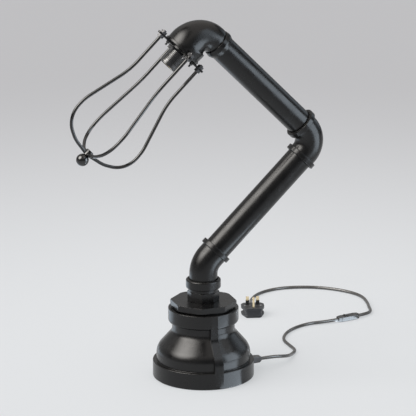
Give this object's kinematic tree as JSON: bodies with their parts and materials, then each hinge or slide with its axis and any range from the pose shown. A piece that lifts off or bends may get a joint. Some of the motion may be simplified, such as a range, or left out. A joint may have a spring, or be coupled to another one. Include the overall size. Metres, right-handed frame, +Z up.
{
  "type": "industrial pipe table lamp",
  "caption": "Table lamp of black pipe fittings: bell-shaped base, leaning pipe, right-angle elbows, wire bulb cage with ball finial, and a mains lead with inline switch and plug.",
  "frame": {"origin": "centre of the underside of the round base, on the surface that the lamp stands on", "axes": "+Z up, +X the way the lower pipe leans, so that the head hangs over towards -X; the cord leaves the base along +X"},
  "size_m": [0.7751, 0.604, 0.7377],
  "materials": {
    "black_iron": "satin black powder coat over cast iron",
    "black_pipe": "satin black powder coat over steel",
    "black_wire": "gloss black enamel on steel",
    "black_bolt": "black oxide with oily sheen",
    "plate_steel": "plain black paint",
    "zinc_steel": "zinc-plated steel",
    "pad_rubber": "matt foamed rubber",
    "seal_rubber": "matt black rubber",
    "nylon": "natural nylon",
    "relief_plastic": "moulded black nylon, fine grain",
    "cord_sheath": "smooth dark PVC sheath with a soft shine",
    "switch_plastic": "moulded black thermoplastic",
    "rocker_plastic": "polished black thermoplastic",
    "plug_plastic": "moulded dark grey plastic",
    "carrier_plastic": "moulded dark grey plastic",
    "sleeve_plastic": "black insulating sleeve",
    "holder_plastic": "black phenolic moulding",
    "ceramic": "white glazed steatite",
    "fuse_ceramic": "white ceramic tube",
    "pin_brass": "bright drawn brass"
  },
  "bodies": {
    "base": {"base_reducer": "black_iron", "base_plate": "plate_steel", "base_plate_screws": "zinc_steel", "rubber_pad": "pad_rubber", "octagon_bush": "black_iron", "octagon_nut": "black_iron", "swivel_collar": "black_iron", "collar_seal": "seal_rubber", "thrust_washer": "nylon", "strain_relief": "relief_plastic", "strain_relief_nut": "relief_plastic", "inner_cable_base": "cord_sheath", "cord_to_switch": "cord_sheath", "switch_lower": "switch_plastic", "switch_upper": "switch_plastic", "switch_screws": "zinc_steel", "switch_rocker_pin": "zinc_steel", "switch_terminals": "pin_brass", "cord_to_plug": "cord_sheath", "plug_cover": "plug_plastic", "plug_face": "plug_plastic", "plug_line_pins": "pin_brass", "plug_pin_sleeves": "sleeve_plastic", "plug_earth_pin": "pin_brass", "plug_fuse_carrier": "carrier_plastic", "plug_fuse": "fuse_ceramic", "plug_screws": "zinc_steel", "plug_cord_bush": "plug_plastic"},
    "rocker": {"switch_rocker": "rocker_plastic"},
    "lower_arm": {"lower_elbow": "black_iron", "lock_ring": "zinc_steel", "lower_pipe": "black_pipe", "lower_joint_clip": "zinc_steel", "inner_cable_lower": "cord_sheath"},
    "elbow": {"middle_elbow": "black_iron", "elbow_seals": "seal_rubber", "inner_cable_middle": "cord_sheath"},
    "upper_arm": {"upper_pipe": "black_pipe", "upper_joint_clip": "zinc_steel", "top_elbow": "black_iron", "inner_cable_upper": "cord_sheath", "head_cap": "black_iron", "lamp_nipple": "zinc_steel", "nipple_nuts": "zinc_steel", "cage_plate": "black_pipe", "cage_bolts": "black_bolt", "cage_bolt_nuts": "black_bolt", "cage_wire_1": "black_wire", "cage_wire_2": "black_wire", "cage_wire_3": "black_wire", "cage_wire_4": "black_wire", "cage_wire_nuts": "black_bolt", "cage_hub": "black_wire", "hub_screws": "black_bolt", "ball_finial": "black_wire", "lampholder_shell": "holder_plastic", "lampholder_ring": "holder_plastic", "lampholder_insert": "ceramic", "lampholder_screw_shell": "pin_brass", "lampholder_contact": "pin_brass"}
  },
  "joints": [
    {"name": "base_swivel", "type": "hinge", "parent": "base", "child": "lower_arm", "pos_m": [0, 0, 0.2], "axis": [0, 0, 1], "range_deg": [-170, 170]},
    {"name": "elbow_turn", "type": "hinge", "parent": "lower_arm", "child": "elbow", "pos_m": [0.24112, 0, 0.47642], "axis": [0.7071, 0, 0.7071], "range_deg": [-90, 90]},
    {"name": "pipe_turn", "type": "hinge", "parent": "elbow", "child": "upper_arm", "pos_m": [0.24112, 0, 0.47642], "axis": [-0.7071, 0, 0.7071], "range_deg": [-90, 90]},
    {"name": "switch_rock", "type": "hinge", "parent": "base", "child": "rocker", "pos_m": [0.4102, 0.24653, 0.0072], "axis": [-0.2419, 0.9703, 0], "range_deg": [-14, 0]}
  ]
}
